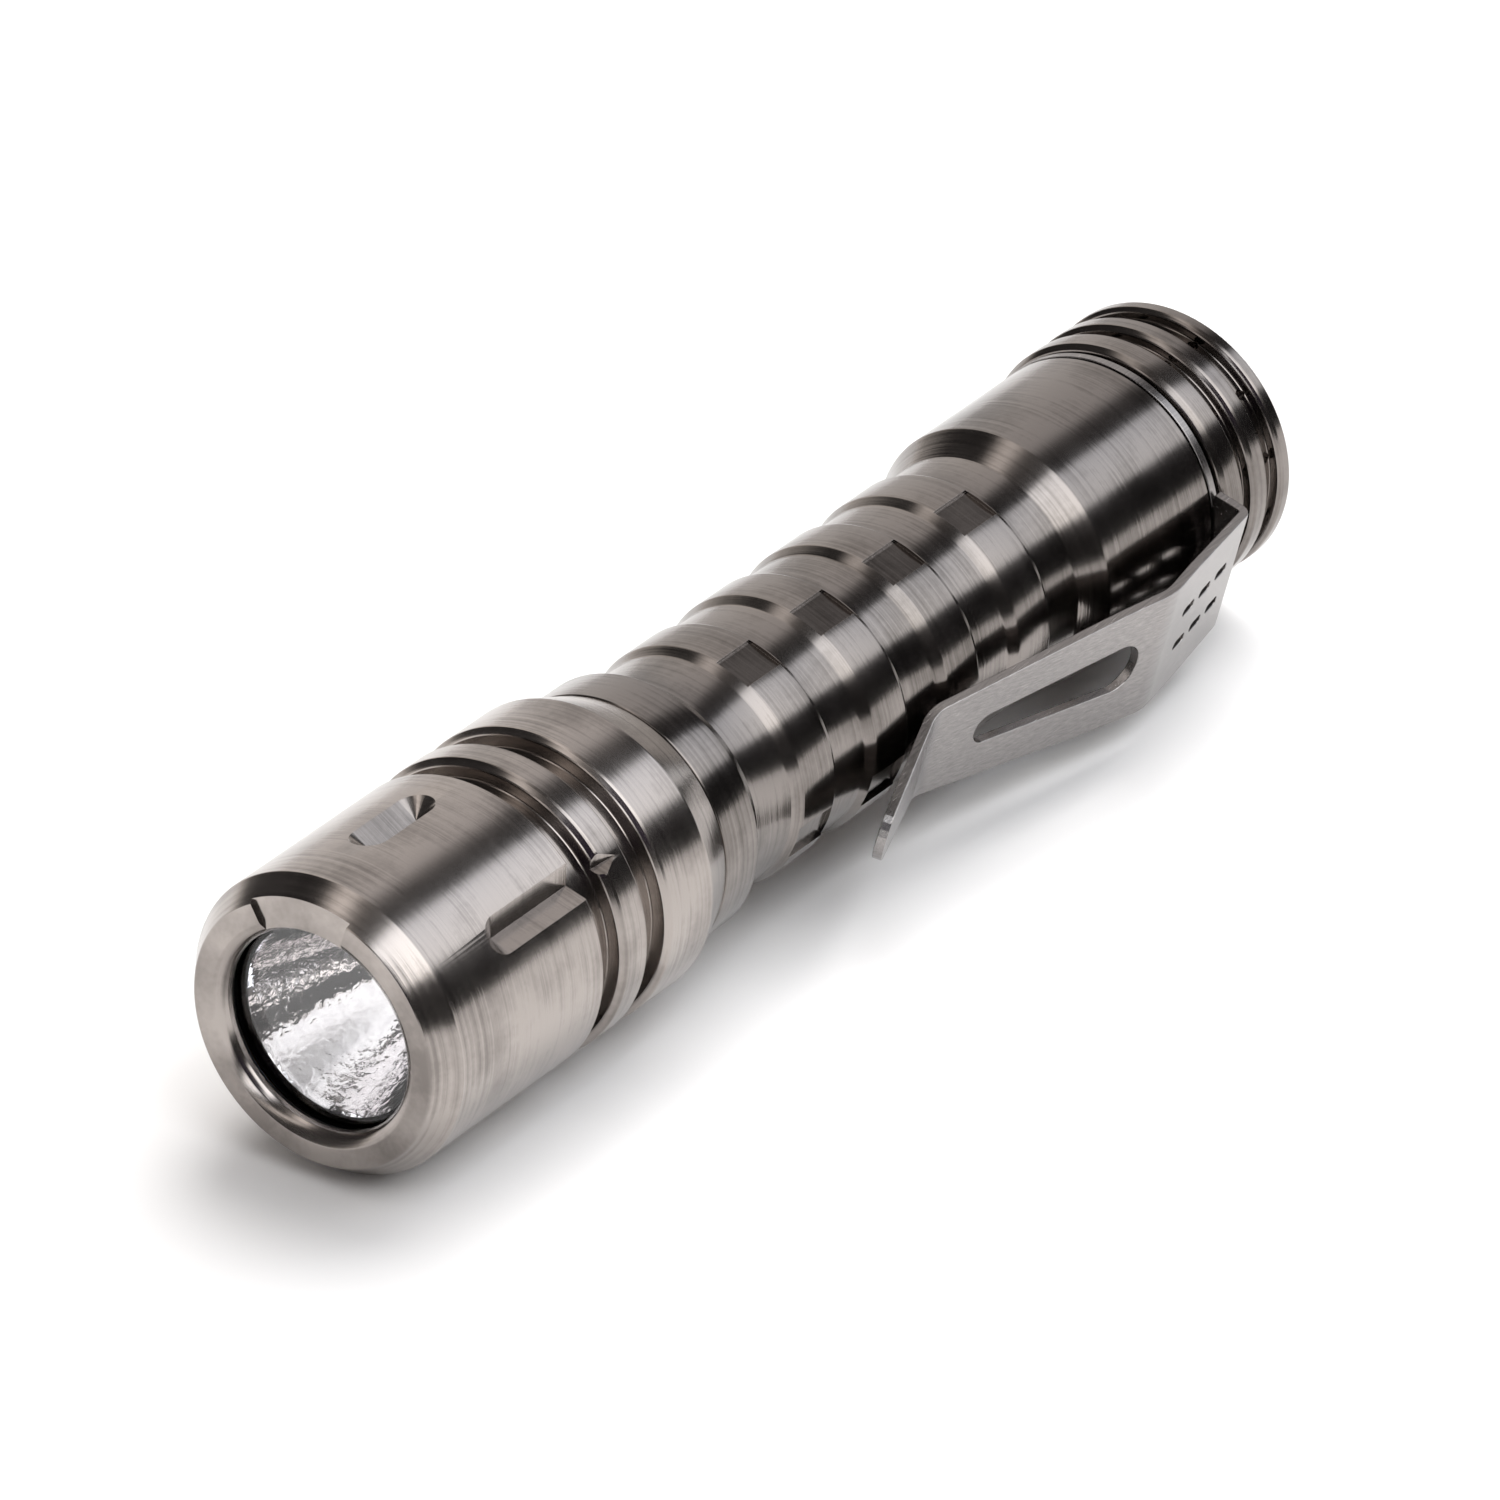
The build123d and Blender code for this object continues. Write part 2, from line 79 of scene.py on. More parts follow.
def add(tree, kind, settings=None, stops=(), **sockets):
    """Add a node. A socket, by name or as _number, gets a value or a (node, output) pair.

    Stops are a colour ramp's (place, hex) pairs.
    """
    node = tree.nodes.new(kind)
    for key, value in (settings or {}).items():
        setattr(node, key, value)
    for key, value in sockets.items():
        name = key.replace("_", " ")
        socket = node.inputs[int(name[1:])] if name[1:].isdigit() else node.inputs[name]
        if isinstance(value, tuple) and isinstance(value[0], bpy.types.Node):
            tree.links.new(value[0].outputs[value[1]], socket)
        else:
            socket.default_value = value
    if stops:
        marks = node.color_ramp.elements
        for mark, (place, tone) in ((marks[0], stops[0]), (marks[-1], stops[-1])):
            mark.position, mark.color = place, linear(tone)
        for place, tone in stops[1:-1]:
            marks.new(place).color = linear(tone)
    return node


def new_material(name, **sockets):
    """A material with one Principled shader; returns it, its tree and the shader."""
    material = bpy.data.materials.new(name)
    material.use_nodes = True
    tree = material.node_tree
    tree.nodes.clear()
    shader = add(tree, "ShaderNodeBsdfPrincipled", **sockets)
    add(tree, "ShaderNodeOutputMaterial", Surface=(shader, "BSDF"))
    return material, tree, shader


def lathe_turned(name, dull, bright, roughness, line_depth):
    """Bare titanium as the lathe leaves it: a warm grey metal with crisp reflections.

    Fine rings round the body stretch each highlight along it, never round it.
    """
    material, tree, shader = new_material(name, Metallic=1.0)
    place = add(tree, "ShaderNodeTexCoord")
    along = add(tree, "ShaderNodeSeparateXYZ", Vector=(place, "Object"))
    # feed lines at 0.3 mm, coarser than the real cut so that they show
    feed = add(
        tree,
        "ShaderNodeTexNoise",
        {"noise_dimensions": "1D"},
        W=(along, "X"),
        Scale=1000 / 0.3,
        Detail=3.0,
        Roughness=0.7,
    )
    # 4 mm clouds and 0.3 mm specks where handling has dulled it, which also roughen it
    clouds = add(tree, "ShaderNodeTexNoise", Vector=(place, "Object"), Scale=1000 / 4.0, Detail=3.0)
    specks = add(tree, "ShaderNodeTexNoise", Vector=(place, "Object"), Scale=1000 / 0.3, Detail=4.0)
    wear = add(
        tree,
        "ShaderNodeMath",
        {"operation": "MULTIPLY_ADD"},
        _0=(specks, "Fac"),
        _1=0.2,
        _2=(clouds, "Fac"),
    )
    mixed = add(
        tree, "ShaderNodeMath", {"operation": "MULTIPLY_ADD"}, _0=(feed, "Fac"), _1=0.6, _2=(wear, 0)
    )
    tone = add(tree, "ShaderNodeValToRGB", Fac=(mixed, 0), stops=((0.65, dull), (1.0, bright)))
    tree.links.new(tone.outputs["Color"], shader.inputs["Base Color"])
    # the wear averages 0.6, so its share of 0.12 is taken off first to keep the mean
    gloss = add(
        tree, "ShaderNodeMath", {"operation": "MULTIPLY_ADD"}, _0=(wear, 0), _1=0.12, _2=roughness - 0.07
    )
    tree.links.new(gloss.outputs[0], shader.inputs["Roughness"])
    relief = add(tree, "ShaderNodeBump", Height=(feed, "Fac"), Strength=line_depth, Distance=0.00003)
    tree.links.new(relief.outputs["Normal"], shader.inputs["Normal"])
    return material


def turn(outline, edge=0.08, segments=256):
    """A closed bmesh turned about X from (station, radius) points, with rounded corners."""
    mesh = bmesh.new()
    points = [mesh.verts.new((x, 0, r)) for x, r in outline]
    for first, second in zip(points, points[1:] + points[:1]):
        mesh.edges.new((first, second))
    if edge:
        corners = [v for v in points if v.co.z > edge]
        bmesh.ops.bevel(
            mesh, geom=corners, offset=edge, segments=2, profile=0.5, affect="VERTICES", material=-1
        )
    bmesh.ops.spin(
        mesh,
        geom=mesh.verts[:] + mesh.edges[:],
        cent=(0, 0, 0),
        axis=(1, 0, 0),
        angle=math.tau,
        steps=segments,
        use_merge=True,
    )
    bmesh.ops.remove_doubles(mesh, verts=mesh.verts, dist=1e-5)
    bmesh.ops.recalc_face_normals(mesh, faces=mesh.faces)
    return mesh


def join(into, other, angle):
    """Move a closed shape that points up into another, turned to an angle round the body."""
    other.transform(Matrix.Rotation(math.radians(angle), 4, "X"))
    bmesh.ops.recalc_face_normals(other, faces=other.faces)
    data = bpy.data.meshes.new("joined")
    other.to_mesh(data)
    other.free()
    into.from_mesh(data)
    bpy.data.meshes.remove(data)


def wrap(into, angle, discs, segments=48):
    """Join the hull of discs (station, side, height, radius), each square to the radius."""
    hull = bmesh.new()
    for station, side, height, radius in discs:
        place = Matrix.Translation((station, side, height))
        if radius:
            bmesh.ops.create_circle(hull, segments=segments, radius=radius, matrix=place)
        else:
            bmesh.ops.create_vert(hull, co=place.translation)
    bmesh.ops.delete(hull, geom=hull.edges[:], context="EDGES_FACES")
    bmesh.ops.convex_hull(hull, input=hull.verts)
    bmesh.ops.delete(hull, geom=[v for v in hull.verts if not v.link_faces], context="VERTS")
    join(into, hull, angle)


def carved(mesh, tool_mesh, edge=0.05, operation="DIFFERENCE"):
    """Cut one bmesh out of another, or fuse them, and soften the edges that are left."""
    objects = []
    for label, source in (("blank", mesh), ("tool", tool_mesh)):
        data = bpy.data.meshes.new(label)
        source.to_mesh(data)
        source.free()
        objects.append(bpy.data.objects.new(label, data))
        bpy.context.scene.collection.objects.link(objects[-1])
    blank, tool = objects
    cut = blank.modifiers.new("cut", "BOOLEAN")
    cut.operation = operation
    cut.solver = "EXACT"
    cut.use_self = True
    cut.object = tool
    if edge:
        soften = blank.modifiers.new("soften", "BEVEL")
        soften.width = edge
        soften.segments = 2
        soften.limit_method = "ANGLE"
        soften.angle_limit = math.radians(38)
    graph = bpy.context.evaluated_depsgraph_get()
    result = bmesh.new()
    result.from_mesh(bpy.data.meshes.new_from_object(blank.evaluated_get(graph)))
    for thing in objects:
        bpy.data.objects.remove(thing)
    return result


def set_piece(name, mesh, material, body, node, smooth=12):
    """Set a millimetre bmesh down in the frame as the piece that stands for a CAD node."""
    data = bpy.data.meshes.new(name)
    mesh.transform(set_down)
    mesh.to_mesh(data)
    mesh.free()
    data.shade_smooth()
    data.set_sharp_from_angle(angle=math.radians(smooth))
    data.materials.append(material)
    piece = bpy.data.objects.new(name, data)
    bpy.context.scene.collection.objects.link(piece)
    # wide faces keep their own shade and the narrow rounded edges take the turn
    shade = piece.modifiers.new("shade", "WEIGHTED_NORMAL")
    shade.keep_sharp = True
    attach(piece, body)
    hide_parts(node)


head_titanium = lathe_turned("turned_titanium", "#817B77", "#A9A29D", 0.19, 0.25)
HEAD_R = 8.0
LIP_BACK = -0.5
STEP_DEPTH = 0.248
HEAD_OUTLINE = [
    (FACE_STATION, 5.976),
    (FACE_STATION, 7.032),
    (0, HEAD_R),
    (11.296, HEAD_R),
    (11.296, 7.03),
    (12.96, 7.03),
    (12.96, 7.69),
    (13.27, HEAD_R),
    (14.872, HEAD_R),
    (14.872, 7.0),
    (16.608, 7.0),
    (16.608, 7.72),
    (16.89, HEAD_R),
    (20.232, HEAD_R),
    (22.648, 7.05),
    (22.648, 6.4),
    (16.8, 6.4),
    (16.5, 6.1),
    (LIP_BACK, 6.1),
    (LIP_BACK, 5.336),
    (-0.84, 5.336),
    (FACE_STATION + STEP_DEPTH, 5.552),
]
FLUTE_TIP_R = 7.12
FLUTE_TOP_R = 8.72
FLUTE_HALF_ANGLE = math.radians(51)
SHORT_FLUTE_ANGLES, SHORT_FLUTE = (-6, 114, 234), (4.56, 8.08)
LONG_FLUTE_ANGLES, LONG_FLUTE = (54, 174, 294), (5.24, 12.36)
RUN_OUT = 15.88
STEP_ANGLES = (-6, 114, 234)
STEP_HALF_SPAN = math.radians(24)

cutters = bmesh.new()
flute_half = (FLUTE_TOP_R - FLUTE_TIP_R) * math.tan(FLUTE_HALF_ANGLE)
short_cut = [(x, 0, FLUTE_TIP_R, 0) for x in SHORT_FLUTE]
short_cut += [(x, 0, FLUTE_TOP_R, flute_half) for x in SHORT_FLUTE]
for flute_angle in SHORT_FLUTE_ANGLES:
    wrap(cutters, flute_angle, short_cut)
# a long flute passes the first groove, and its cutter lifts out through the first land
long_cut = [(x, 0, FLUTE_TIP_R, 0) for x in LONG_FLUTE] + [(LONG_FLUTE[0], 0, FLUTE_TOP_R, flute_half)]
long_cut += [(LONG_FLUTE[1], side * flute_half, FLUTE_TOP_R, 0) for side in (-1, 1)]
long_cut += [(RUN_OUT, 0, FLUTE_TOP_R, 0)]
for flute_angle in LONG_FLUTE_ANGLES:
    wrap(cutters, flute_angle, long_cut)
# three sectors of the bezel's face are milled a quarter of a millimetre lower
step_x = FACE_STATION + STEP_DEPTH
reach = 2 * HEAD_R
corner_y, corner_z = reach * math.sin(STEP_HALF_SPAN), reach * math.cos(STEP_HALF_SPAN)
for step_angle in STEP_ANGLES:
    sector = [(x, 0, 0, 0) for x in (step_x, step_x - 1)]
    sector += [(x, side * corner_y, corner_z, 0) for x in (step_x, step_x - 1) for side in (-1, 1)]
    wrap(cutters, step_angle, sector)
head = carved(turn(HEAD_OUTLINE), cutters)
set_piece("head", head, head_titanium, "head", "head_shell")

# ---------------------------------------------------------------------------
# Lens: a flat disc of toughened glass with a thin coating, pressed up under the bezel's
# lip on a flat seal of moulded black rubber.
LENS_FRONT = -0.2
LENS_BACK = 0.8
LENS_R = 6.05
SEAL_BORE_R = 5.5
# clear and almost colourless, so that it shows only where it mirrors the table
glass, glass_tree, glass_shader = new_material(
    "coated_glass", Base_Color=linear("#FCFEFF"), Roughness=0.0, IOR=1.5, Transmission_Weight=1.0
)
glass_place = add(glass_tree, "ShaderNodeTexCoord")
# faint wiping marks about 1 mm apart bend what shows through by a hair
wiping = add(
    glass_tree, "ShaderNodeTexNoise", Vector=(glass_place, "Object"), Scale=1000 / 1.0, Detail=2.0
)
wiped = add(glass_tree, "ShaderNodeBump", Height=(wiping, "Fac"), Strength=0.02, Distance=0.00001)
glass_tree.links.new(wiped.outputs["Normal"], glass_shader.inputs["Normal"])
lens = turn([(LENS_FRONT, 0), (LENS_FRONT, LENS_R), (LENS_BACK, LENS_R), (LENS_BACK, 0)])
set_piece("window", lens, glass, "head", "lens")

# black rubber as the mould leaves it: a soft, dim sheen with no clear reflection
rubber, rubber_tree, rubber_shader = new_material(
    "moulded_rubber", Roughness=0.55, Specular_IOR_Level=0.35
)
rubber_place = add(rubber_tree, "ShaderNodeTexCoord")
# 0.15 mm grain of a blasted mould
rubber_grain = add(
    rubber_tree, "ShaderNodeTexNoise", Vector=(rubber_place, "Object"), Scale=1000 / 0.15, Detail=3.0
)
rubber_tone = add(
    rubber_tree,
    "ShaderNodeValToRGB",
    Fac=(rubber_grain, "Fac"),
    stops=((0.35, "#101010"), (0.7, "#1D1C1B")),
)
rubber_relief = add(
    rubber_tree, "ShaderNodeBump", Height=(rubber_grain, "Fac"), Strength=0.25, Distance=0.00003
)
rubber_tree.links.new(rubber_tone.outputs["Color"], rubber_shader.inputs["Base Color"])
rubber_tree.links.new(rubber_relief.outputs["Normal"], rubber_shader.inputs["Normal"])
lens_seal = turn(
    [(LIP_BACK, SEAL_BORE_R), (LIP_BACK, LENS_R), (LENS_FRONT, LENS_R), (LENS_FRONT, SEAL_BORE_R)],
    edge=0.06,
)
set_piece("bezel_seal", lens_seal, rubber, "head", "lens_seal")

# ---------------------------------------------------------------------------
# Reflector: a turned aluminium cup, lacquered to an orange-peel face and metallised
# under vacuum; its flat lip sits against the lens and its throat lets the emitter in.

# a bright mirror that the bumps under it break up
silver, silver_tree, silver_shader = new_material(
    "metallised_orange_peel", Metallic=1.0, Roughness=0.04
)
silver_place = add(silver_tree, "ShaderNodeTexCoord")
# lacquer bumps about 0.45 mm apart break each reflection into ragged streaks
peel = add(
    silver_tree,
    "ShaderNodeTexNoise",
    Vector=(silver_place, "Object"),
    Scale=1000 / 0.45,
    Detail=1.5,
    Roughness=0.5,
    Distortion=0.4,
)
silver_tone = add(
    silver_tree, "ShaderNodeValToRGB", Fac=(peel, "Fac"), stops=((0.3, "#F2EFF0"), (0.7, "#FDFBFB"))
)
silver_relief = add(
    silver_tree, "ShaderNodeBump", Height=(peel, "Fac"), Strength=1.0, Distance=0.00003
)
silver_tree.links.new(silver_tone.outputs["Color"], silver_shader.inputs["Base Color"])
silver_tree.links.new(silver_relief.outputs["Normal"], silver_shader.inputs["Normal"])

DISH_FOCUS = 8.4
DISH_MOUTH_X, DISH_MOUTH_R = 1.0, 5.0
THROAT_R = 1.95
DISH_STEPS = 40
CUP_BACK, CUP_BACK_R = 8.7, 3.3
CUP_SHOULDER, CUP_SHOULDER_R = 2.4, 5.9
CUP_R = 6.0
LIP_INNER_R = 5.1
dish_depth = DISH_FOCUS - DISH_MOUTH_X
focal = (math.hypot(dish_depth, DISH_MOUTH_R) - dish_depth) / 2
dish = []
for count in range(DISH_STEPS + 1):
    radius = DISH_MOUTH_R + (THROAT_R - DISH_MOUTH_R) * count / DISH_STEPS
    dish.append((DISH_FOCUS + focal - radius**2 / (4 * focal), radius))
shell = [
    (CUP_BACK, THROAT_R),
    (CUP_BACK, CUP_BACK_R),
    (CUP_SHOULDER, CUP_SHOULDER_R),
    (CUP_SHOULDER, CUP_R),
    (LENS_BACK, CUP_R),
    (LENS_BACK, LIP_INNER_R),
]
cup = turn(dish + shell, edge=0)
set_piece("cup", cup, silver, "head", "reflector")

# ---------------------------------------------------------------------------
# Emitter: a silicone dome moulded over yellow phosphor, on a fired ceramic square that
# is soldered to a metal-core board and centred by a nylon ring.

# yellow phosphor under a glossy clear skin
silicone, silicone_tree, silicone_shader = new_material(
    "silicone_over_phosphor", Roughness=0.08, IOR=1.41, Coat_Weight=0.4
)
silicone_place = add(silicone_tree, "ShaderNodeTexCoord")
# phosphor grains, drawn at 0.08 mm so that they show
phosphor = add(
    silicone_tree, "ShaderNodeTexNoise", Vector=(silicone_place, "Object"), Scale=1000 / 0.08, Detail=2.0
)
phosphor_tone = add(
    silicone_tree,
    "ShaderNodeValToRGB",
    Fac=(phosphor, "Fac"),
    stops=((0.3, "#C9A62A"), (0.7, "#E6CF63")),
)
silicone_tree.links.new(phosphor_tone.outputs["Color"], silicone_shader.inputs["Base Color"])
DOME_R = 1.25
DOME_BASE = 8.749
dome = bmesh.new()
pole_forward = Matrix.Translation((DOME_BASE, 0, 0)) @ Matrix.Rotation(math.pi / 2, 4, "Y")
bmesh.ops.create_uvsphere(dome, u_segments=48, v_segments=24, radius=DOME_R, matrix=pole_forward)
everything = dome.verts[:] + dome.edges[:] + dome.faces[:]
bmesh.ops.bisect_plane(
    dome, geom=everything, plane_co=(DOME_BASE, 0, 0), plane_no=(1, 0, 0), clear_outer=True
)
bmesh.ops.contextual_create(dome, geom=[e for e in dome.edges if e.is_boundary])
bmesh.ops.recalc_face_normals(dome, faces=dome.faces)
set_piece("emitter_dome", dome, silicone, "head", "led_dome", smooth=60)


def grained(name, dark, light, grain_mm, roughness, metallic=0.0):
    """A plain finish whose tone and relief vary a little with its grain."""
    material, tree, shader = new_material(name, Roughness=roughness, Metallic=metallic)
    place = add(tree, "ShaderNodeTexCoord")
    grain = add(tree, "ShaderNodeTexNoise", Vector=(place, "Object"), Scale=1000 / grain_mm, Detail=3.0)
    tone = add(tree, "ShaderNodeValToRGB", Fac=(grain, "Fac"), stops=((0.3, dark), (0.7, light)))
    relief = add(tree, "ShaderNodeBump", Height=(grain, "Fac"), Strength=0.2, Distance=0.00002)
    tree.links.new(tone.outputs["Color"], shader.inputs["Base Color"])
    tree.links.new(relief.outputs["Normal"], shader.inputs["Normal"])
    return material


def dress_node(name, material):
    """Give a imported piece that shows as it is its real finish."""
    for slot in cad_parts[name].material_slots:
        slot.material = material


# matt white, each with a different grain: fired, moulded and lacquered
ceramic = grained("fired_ceramic", "#E2E0DA", "#F0EEE8", 0.2, 0.35)
nylon = grained("moulded_nylon", "#DAD8D2", "#E6E4DE", 0.3, 0.5)
core_board = grained("lacquered_metal_core", "#DCDCD8", "#EDEDE9", 0.4, 0.4)
dress_node("led_base", ceramic)
dress_node("led_centring_ring", nylon)
dress_node("led_board", core_board)

# ---------------------------------------------------------------------------
# Driver: a brass pill turned from bar carries the green glass-cloth board, its black
# moulded parts and a brass contact; two sleeved wires pass through the pill.

# warm satin brass, glossy green laminate over glass cloth, dull black plastic, soft red sleeving
brass = grained("machined_brass", "#B98F45", "#CDA65A", 0.12, 0.3, metallic=1.0)
laminate = grained("green_laminate", "#0F4A2A", "#1A5E37", 0.3, 0.35)
black_plastic = grained("moulded_black_plastic", "#131313", "#1E1D1D", 0.15, 0.5)
wire_sleeve = grained("red_wire_sleeve", "#8E1410", "#A81C14", 0.2, 0.45)
for brass_name in ("heat_pill", "pill_ring", "driver_contact"):
    dress_node(brass_name, brass)
dress_node("driver_board", laminate)
dress_node("driver_parts", black_plastic)
dress_node("led_wires", wire_sleeve)

# ---------------------------------------------------------------------------
# Cell: a rechargeable steel cell, nickel plated, in a blue shrink film with a paper
# ring at its positive end.

# satin nickel, shiny tight film and dry fibrous paper
nickel = grained("nickel_plated_steel", "#B8B6B1", "#C9C7C2", 0.3, 0.28, metallic=1.0)
film = grained("blue_shrink_film", "#1C3763", "#24457A", 0.5, 0.25)
paper = grained("insulating_paper", "#B9B2A2", "#CBC4B4", 0.25, 0.8)
for steel_name in ("cell_can", "cell_button"):
    dress_node(steel_name, nickel)
dress_node("cell_wrap", film)
dress_node("cell_insulator", paper)

# ---------------------------------------------------------------------------
# Battery tube: titanium bar with a collar, four grip rings with milled pockets and a
# plain tail, a shade darker than the head. Its threaded neck and O-ring go into the head.

# the same turned titanium, darker and a little glossier than the head's
tube_titanium = lathe_turned("dark_turned_titanium", "#67625E", "#8C8682", 0.17, 0.22)
TUBE_BORE_R = 5.45
VALLEY_R = 6.216
CREST_R = 6.52
RING_START = 29.344
RING_PITCH = 6.184
RING_COUNT = 4
RING_RAMP = 0.632
RING_LAND = 2.66
RING_DROP = 0.3
TAIL_R = 7.12
TUBE_END = 64.8
THREAD_ROOT_R = 5.95
THREAD_R = 6.35
THREAD_PITCH = 0.8
POCKET_HALF_WIDTH = 1.02
POCKET_MARGIN = 0.1
POCKET_ANGLES = (20.6, 110.6, 200.6, 290.6)


def thread(start, turns):
    """Outline points of a threaded stretch, drawn as rings at the thread's pitch."""
    points = []
    for count in range(turns):
        foot = start + count * THREAD_PITCH
        points += [(foot, THREAD_ROOT_R)]
        points += [(foot + part * THREAD_PITCH, THREAD_R) for part in (0.3, 0.6)]
    return points


rings = []
for count in range(RING_COUNT):
    top = RING_START + count * RING_PITCH + RING_RAMP
    rings += [
        (top - RING_RAMP, VALLEY_R),
        (top, CREST_R),
        (top + RING_LAND, CREST_R),
        (top + RING_LAND + RING_DROP, VALLEY_R),
    ]
TUBE_OUTLINE = [
    (17.7, 5.9),
    *thread(17.9, 3),
    (20.63, 6.2),
    (20.63, 5.95),
    (21.47, 5.95),
    (21.47, THREAD_R),
    (22.7, THREAD_R),
    (22.7, 7.08),
    (25.32, 7.08),
    (26.4, VALLEY_R),
    *rings,
    (54.08, VALLEY_R),
    (55.65, TAIL_R),
    (TUBE_END, TAIL_R),
    (TUBE_END, 6.4),
    (58.9, 6.4),
    (58.5, TUBE_BORE_R),
    (17.7, TUBE_BORE_R),
]
cutters = bmesh.new()
for count in range(RING_COUNT):
    middle = RING_START + count * RING_PITCH + RING_RAMP + RING_LAND / 2
    half = RING_LAND / 2 + POCKET_MARGIN
    pocket = [
        (middle + x, y, z, 0)
        for x in (-half, half)
        for y in (-POCKET_HALF_WIDTH, POCKET_HALF_WIDTH)
        for z in (VALLEY_R, VALLEY_R + 1)
    ]
    for pocket_angle in POCKET_ANGLES:
        wrap(cutters, pocket_angle, pocket)
tube = carved(turn(TUBE_OUTLINE), cutters)
set_piece("tube", tube, tube_titanium, "tube", "battery_tube")

SEAL_SECTION_R = 0.205
SEAL_MIDDLE_R = 6.165
SEAL_STEPS = 12
for seal_name, station, body in (("neck_seal", 21.05, "tube"), ("tail_seal", 63.35, "spigot_seal")):
    section = [
        (
            station + SEAL_SECTION_R * math.cos(math.tau * count / SEAL_STEPS),
            SEAL_MIDDLE_R + SEAL_SECTION_R * math.sin(math.tau * count / SEAL_STEPS),
        )
        for count in range(SEAL_STEPS)
    ]
    seal = turn(section, edge=0, segments=128)
    set_piece(seal_name + "_ring", seal, rubber, body, seal_name, smooth=40)

# ---------------------------------------------------------------------------
# Tail cap: titanium, three fins with a dozen dimples drilled in each groove between
# them, and a threaded spigot that screws into the tube and traps the clip's ring.
FIN_R = 7.44
FIN_FLOOR_R = 6.8
CAP_OUTLINE = [
    (59.1, 5.9),
    *thread(59.3, 4),
    (62.93, 6.2),
    (62.93, 5.95),
    (63.77, 5.95),
    (63.77, THREAD_R),
    (65.42, THREAD_R),
    (65.42, FIN_FLOOR_R),
    (65.62, FIN_FLOOR_R),
    (65.62, 7.2),
    (65.95, FIN_R),
    (67.2, FIN_R),
    (67.2, FIN_FLOOR_R),
    (68.16, FIN_FLOOR_R),
    (68.16, 7.2),
    (68.42, FIN_R),
    (69.36, FIN_R),
    (69.36, FIN_FLOOR_R),
    (70.56, FIN_FLOOR_R),
    (70.56, 7.24),
    (70.78, FIN_R),
    (71.41, FIN_R),
    (71.41, 4.2),
    (69.4, 4.2),
    (69.4, TUBE_BORE_R),
    (59.1, TUBE_BORE_R),
]
DIMPLE_R = 0.3
DIMPLE_DEPTH = 0.35
DIMPLE_COUNT = 12
DIMPLE_START_ANGLE = 18.4
DIMPLE_STATIONS = (67.78, 70.24)
cutters = bmesh.new()
for station in DIMPLE_STATIONS:
    drill = [(station, 0, z, DIMPLE_R) for z in (FIN_FLOOR_R - DIMPLE_DEPTH, FIN_R)]
    for count in range(DIMPLE_COUNT):
        wrap(cutters, DIMPLE_START_ANGLE + count * 360 / DIMPLE_COUNT, drill, segments=24)
cap = carved(turn(CAP_OUTLINE), cutters, edge=0.04)
set_piece("cap", cap, tube_titanium, "tail", "tail_cap")

# ---------------------------------------------------------------------------
# Switch: a black click switch on a green board, locked in the cap by a brass ring, with
# gold plated springs; a moulded rubber button and its flange seal the cap's opening.

# bright yellow plating
gold = grained("gold_plated_spring", "#CFA348", "#DDB660", 0.2, 0.22, metallic=1.0)
for gold_name in ("tail_spring", "switch_spring"):
    dress_node(gold_name, gold)
for nylon_name in ("switch_spacer", "switch_plunger"):
    dress_node(nylon_name, nylon)
dress_node("switch_ring", brass)
dress_node("switch_board", laminate)
dress_node("switch_body", black_plastic)
dress_node("boot_flange", rubber)
BUTTON_R = 4.1
BUTTON_FOOT = 68.5
BUTTON_TOP = 70.9
button = turn(
    [
        (BUTTON_FOOT, 0),
        (BUTTON_FOOT, BUTTON_R),
        (BUTTON_TOP - 0.5, BUTTON_R),
        (BUTTON_TOP - 0.15, BUTTON_R - 0.5),
        (BUTTON_TOP, BUTTON_R - 1.6),
        (BUTTON_TOP, 0),
    ],
    edge=0.14,
)
set_piece("button", button, rubber, "button", "tail_button", smooth=60)

# ---------------------------------------------------------------------------
# Pocket clip: half-millimetre spring steel, blanked with a window and vents, bent three
# times and brushed along its length; its ring is trapped between the tube and the cap.

# a plainer, cooler grey than the titanium, with soft reflections drawn along the blade
clip_steel, clip_tree, clip_shader = new_material("brushed_spring_steel", Metallic=1.0)
clip_place = add(clip_tree, "ShaderNodeTexCoord")
# brush lines 3 mm long and 0.1 mm apart, coarser than the belt's grit so that they show
drawn = add(clip_tree, "ShaderNodeMapping", Vector=(clip_place, "Object"), Scale=(0.033, 1.0, 1.0))
brush = add(
    clip_tree,
    "ShaderNodeTexNoise",
    Vector=(drawn, "Vector"),
    Scale=1000 / 0.1,
    Detail=4.0,
    Roughness=0.65,
)
clip_tone = add(
    clip_tree, "ShaderNodeValToRGB", Fac=(brush, "Fac"), stops=((0.3, "#848180"), (0.7, "#A29E9C"))
)
clip_gloss = add(
    clip_tree, "ShaderNodeMath", {"operation": "MULTIPLY_ADD"}, _0=(brush, "Fac"), _1=0.14, _2=0.18
)
clip_relief = add(clip_tree, "ShaderNodeBump", Height=(brush, "Fac"), Strength=0.3, Distance=0.00001)
clip_tree.links.new(clip_tone.outputs["Color"], clip_shader.inputs["Base Color"])
clip_tree.links.new(clip_gloss.outputs[0], clip_shader.inputs["Roughness"])
clip_tree.links.new(clip_relief.outputs["Normal"], clip_shader.inputs["Normal"])

CLIP_ANGLE = 105.0
SHEET = 0.5
BLANK_HALF_WIDTH = 4.2
